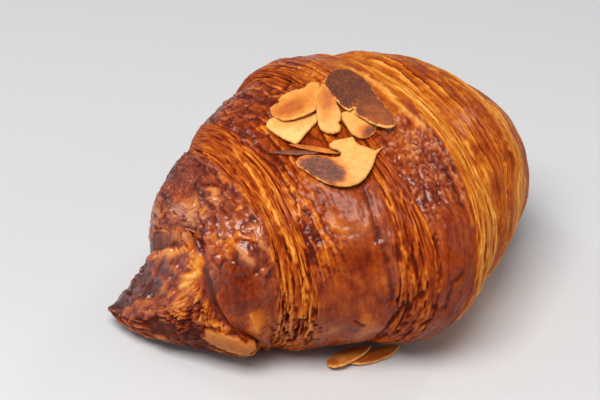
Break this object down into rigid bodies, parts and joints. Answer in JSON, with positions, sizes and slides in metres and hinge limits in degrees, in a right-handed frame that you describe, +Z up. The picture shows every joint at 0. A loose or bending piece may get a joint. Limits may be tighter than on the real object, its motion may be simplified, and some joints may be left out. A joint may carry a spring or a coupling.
{
  "type": "almond croissant",
  "caption": "Baked crescent roll with flaky wrapped layers and toasted almond flakes on its crown, resting on its flat underside.",
  "frame": {"origin": "middle of the bounding box in plan, on the floor that the croissant rests on", "axes": "+X along the crescent from nose to nose, -Y the bulging outer side with the noses bent towards +Y, +Z up"},
  "size_m": [0.1198, 0.0934, 0.0644],
  "materials": {
    "crust": "browned butter crust, half glossy with egg wash, dull where the layers are cut",
    "flake_toasted": "toasted almond, dull, browner in the middle",
    "flake_dark": "dark toasted almond with a pale rim, dull"
  },
  "bodies": {
    "root": {"croissant": "crust", "flake_dark_whole": "flake_dark", "flake_fan_upper": "flake_toasted", "flake_fan_lower": "flake_toasted", "flake_fan_slim": "flake_toasted", "flake_fan_small": "flake_toasted", "flake_broken": "flake_toasted", "flake_foot_near": "flake_toasted", "flake_foot_far": "flake_toasted"}
  },
  "joints": []
}
